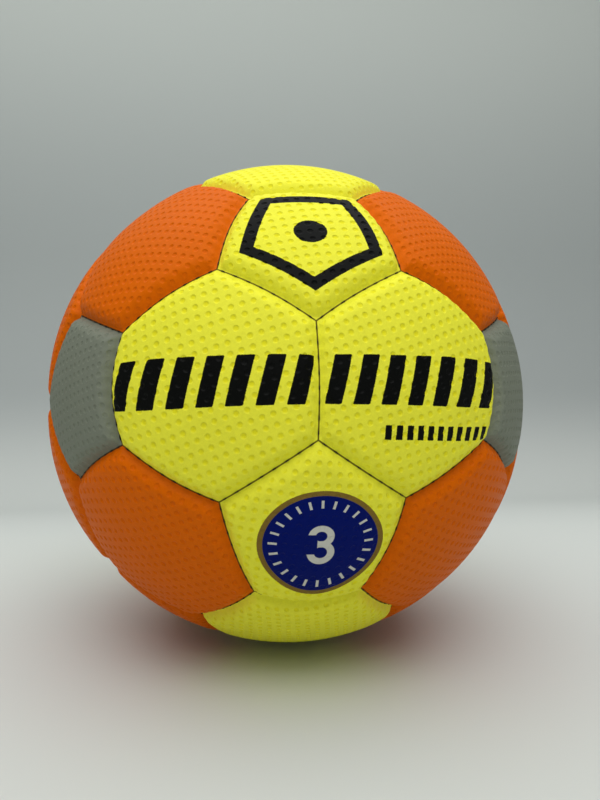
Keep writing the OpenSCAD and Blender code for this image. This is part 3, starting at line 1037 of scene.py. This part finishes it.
def woven(name, colour, pitch=0.5 * MM, warp_slant=0.37, weft_slant=0.31):
    """Plain-woven cloth with a thread count of about 20 to the centimetre."""
    graph = Graph(name)
    place = graph.place()
    x, y, z = (graph.add("ShaderNodeSeparateXYZ", {}, {0: place}, k) for k in range(3))
    warp = abs(((x + warp_slant * y) / pitch).near_cell())
    weft = abs(((z + weft_slant * y) / pitch).near_cell())
    weave = (warp - weft).step(-0.5, 0.5)
    fuzz = graph.noise(0.2 * MM, 2.0)
    tone = 0.95 + 0.12 * weave + 0.25 * fuzz
    return graph.finish(graph.tinted(colour, tone), 0.88, 0.06 * weave + 0.03 * fuzz)


def foamed(name, colour):
    """Closed-cell foam."""
    graph = Graph(name)
    sockets = {"Vector": graph.place(), "Scale": 1 / (0.4 * MM)}
    cell = graph.add("ShaderNodeTexVoronoi", {}, sockets)
    cloud = graph.noise(6 * MM)
    tone = 0.92 + 0.16 * cell + 0.12 * cloud
    return graph.finish(graph.tinted(colour, tone), 0.9, 0.12 * cell)


TALC = (0.7, 0.68, 0.62)


def rubbery(name, colour, roughness, haze):
    """Moulded rubber or latex, with a bloom of talc where haze is above 0."""
    graph = Graph(name)
    fine = graph.noise(0.3 * MM, 3.0)
    cloud = graph.noise(9 * MM, 3.0)
    bloom = cloud.step(-0.05, 0.35) * haze
    base = graph.mix(bloom, graph.tinted(colour, 1 + 0.25 * fine), TALC)
    return graph.finish(base, roughness + 0.2 * bloom + 0.1 * fine, 0.02 * fine)


def give(node, material):
    """Makes a material the only one on a CAD node."""
    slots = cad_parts[node].data.materials
    slots.clear()
    slots.append(material)


class HANDBALL_OT_hexagons(bpy.types.Operator):
    """Build the 20 hexagon panels"""

    bl_idname = "handball.hexagons"
    bl_label = "Hexagon Panels"

    def execute(self, context):
        build_panels("hexagon")
        return {"FINISHED"}


class HANDBALL_OT_pentagons(bpy.types.Operator):
    """Build the 12 pentagon panels"""

    bl_idname = "handball.pentagons"
    bl_label = "Pentagon Panels"

    def execute(self, context):
        build_panels("pentagon")
        return {"FINISHED"}


class HANDBALL_OT_thread(bpy.types.Operator):
    """Sew the 90 seams"""

    bl_idname = "handball.thread"
    bl_label = "Seam Thread"

    def execute(self, context):
        build_thread("pentagon")
        build_thread("hexagon")
        return {"FINISHED"}


class HANDBALL_OT_backing(bpy.types.Operator):
    """Lay the foam and the lining behind the panels"""

    bl_idname = "handball.backing"
    bl_label = "Backing"

    def execute(self, context):
        colours = context.scene.handball_inside
        foam = foamed("backing_foam", colours.foam)
        cloth = woven("lining_cloth", colours.lining)
        for shape in SIDES:
            build_backing(shape + "_foam", foam, "foam")
            build_backing(shape + "_lining", cloth, "lining")
        return {"FINISHED"}


class HANDBALL_OT_bladder(bpy.types.Operator):
    """Finish the bladder, the valve and its patch"""

    bl_idname = "handball.bladder"
    bl_label = "Bladder and Valve"

    def execute(self, context):
        colours = context.scene.handball_inside
        give("bladder", rubbery("latex", colours.latex, roughness=0.5, haze=0.25))
        give("valve_body", rubbery("valve_rubber", colours.valve_rubber, roughness=0.55, haze=0.1))
        give("valve_core", rubbery("valve_core_rubber", colours.core_rubber, roughness=0.5, haze=0.0))
        give("valve_patch", woven("patch_cloth", colours.patch))
        return {"FINISHED"}


class HANDBALL_OT_stage(bpy.types.Operator):
    """Lay the paper, hang the lamps and set the camera"""

    bl_idname = "handball.stage"
    bl_label = "Stage"

    def execute(self, context):
        stage = context.scene.handball_stage
        build_floor(stage)
        light_stage(stage)
        set_camera(stage)
        return {"FINISHED"}


def paper_section(lean, easing=12, bending=16):
    """The sheet's section from the front to the top: places in the YZ plane. The ball lies rolled back, but
    the frame holds it upright, so the paper leans under it. Behind it the paper gets level and bends up."""
    radius, slope = CAD_HIGH.z, math.tan(lean)
    front, straight_end, level_start, level_end, bend, top = -1.2, 0.08, 0.22, 0.55, 0.35, 1.8
    places = []
    for y in (front, straight_end):
        places.append(Vector((0, y, slope * (y - radius * math.sin(lean)) - radius * math.cos(lean))))
    run = (level_start - straight_end) / easing
    for k in range(easing):
        places.append(places[-1] + Vector((0, run, run * slope * (1 - (k + 0.5) / easing))))
    level = places[-1].z
    places.append(Vector((0, level_end, level)))
    for k in range(1, bending + 1):
        turn = k / bending * math.pi / 2
        places.append(Vector((0, level_end + bend * math.sin(turn), level + bend * (1 - math.cos(turn)))))
    places.append(places[-1] + Vector((0, 0, top)))
    return places


def build_floor(stage, half_width=2):
    """One sheet of paper that is the floor and the backdrop."""
    section, half = paper_section(stage.lean), Vector((half_width, 0, 0))
    mesh = bmesh.new()
    edge = mesh.edges.new([mesh.verts.new(section[0] - half), mesh.verts.new(section[0] + half)])
    for start, end in zip(section, section[1:]):
        moved = bmesh.ops.extrude_edge_only(mesh, edges=[edge])["geom"]
        verts = only(bmesh.types.BMVert, moved)
        bmesh.ops.translate(mesh, vec=end - start, verts=verts)
        edge = next(e for e in only(bmesh.types.BMEdge, moved) if set(e.verts) == set(verts))
    made = finished(mesh, "floor")
    made.materials.append(paper(stage))
    add_object("floor", made)


def paper(stage):
    """Matt paper with painted shade where it rises behind the ball and painted light again higher up."""
    # Heights over the ball's lowest point between which the painted shade and the painted light set in, in
    # metres
    darker, paler = (0.035, 0.19), (0.38, 0.90)
    graph = Graph("paper")
    height = graph.add("ShaderNodeSeparateXYZ", {}, {0: graph.place()}, 2) - CAD_LOW.z
    # Painted shade on the rising paper, then painted light higher up
    colour = graph.mix(height.step(*darker), stage.floor, stage.wall)
    colour = graph.mix(height.step(*paler), colour, stage.wall_top_painted_light)
    return graph.finish(colour, 0.9, specular=0.1)


def light_stage(stage):
    """A large soft light overhead, a small one in front and a weak light from all around."""
    scene = bpy.context.scene
    scene.world = bpy.data.worlds.new("studio")
    scene.world.use_nodes = True
    background = scene.world.node_tree.nodes["Background"]
    background.inputs["Color"].default_value = (1, 1, 1, 1)
    background.inputs["Strength"].default_value = stage.ambient
    hang_softbox("overhead", stage.lamp, side=1.6, place=(-0.03, -0.20, 0.85))
    hang_softbox("front", stage.fill, side=0.6, place=(-0.05, -0.75, 0.60))
    scene.view_settings.view_transform = "Standard"


def hang_softbox(name, power, side, place):
    """A square softbox that faces the ball."""
    lamp = bpy.data.lights.new(name, "AREA")
    lamp.shape, lamp.size, lamp.energy = "SQUARE", side, power
    hung = add_object(name, lamp)
    hung.location = place
    hung.rotation_euler = (-hung.location).to_track_quat("-Z", "Y").to_euler()


def set_camera(stage):
    lens = bpy.data.cameras.new("camera")
    lens.lens, lens.sensor_width = stage.lens, 36
    lens.clip_start, lens.clip_end = 0.01, 20
    camera = add_object("camera", lens)
    level, rise = math.cos(stage.elevation), math.sin(stage.elevation)
    away = Vector((math.sin(stage.azimuth) * level, -math.cos(stage.azimuth) * level, rise))
    aim = (-away).to_track_quat("-Z", "Y").to_matrix()
    roll, tilt = Matrix.Rotation(stage.roll, 3, "Z"), Matrix.Rotation(stage.tilt, 3, "X")
    turn = aim @ (roll @ tilt @ Matrix.Rotation(stage.pan, 3, "Y"))
    camera.matrix_world = Matrix.Translation(away * stage.distance) @ turn.to_4x4()
    bpy.context.scene.camera = camera


STEPS = (
    HANDBALL_OT_hexagons,
    HANDBALL_OT_pentagons,
    HANDBALL_OT_thread,
    HANDBALL_OT_backing,
    HANDBALL_OT_bladder,
    HANDBALL_OT_stage,
)
SETTINGS = {
    "handball_cover": CoverSettings,
    "handball_print": PrintSettings,
    "handball_thread": ThreadSettings,
    "handball_inside": InsideSettings,
    "handball_stage": StageSettings,
}


class HANDBALL_PT_tools(bpy.types.Panel):
    """Settings and steps of the handball"""

    bl_label = "Handball"
    bl_space_type = "VIEW_3D"
    bl_region_type = "UI"
    bl_category = "Handball"

    def draw(self, context):
        for name, group in SETTINGS.items():
            box = self.layout.box()
            settings = getattr(context.scene, name)
            for key in group.__annotations__:
                box.prop(settings, key)
        for step in STEPS:
            self.layout.operator(step.bl_idname)


def register():
    for group in SETTINGS.values():
        bpy.utils.register_class(group)
    for step in STEPS:
        bpy.utils.register_class(step)
    bpy.utils.register_class(HANDBALL_PT_tools)
    for name, group in SETTINGS.items():
        setattr(bpy.types.Scene, name, PointerProperty(type=group))


def unregister():
    for name in SETTINGS:
        delattr(bpy.types.Scene, name)
    bpy.utils.unregister_class(HANDBALL_PT_tools)
    for kind in (*reversed(STEPS), *reversed(SETTINGS.values())):
        bpy.utils.unregister_class(kind)


def main():
    register()
    bpy.ops.handball.hexagons()
    bpy.ops.handball.pentagons()
    bpy.ops.handball.thread()
    bpy.ops.handball.backing()
    bpy.ops.handball.bladder()
    bpy.ops.handball.stage()


if __name__ == "__main__":
    main()
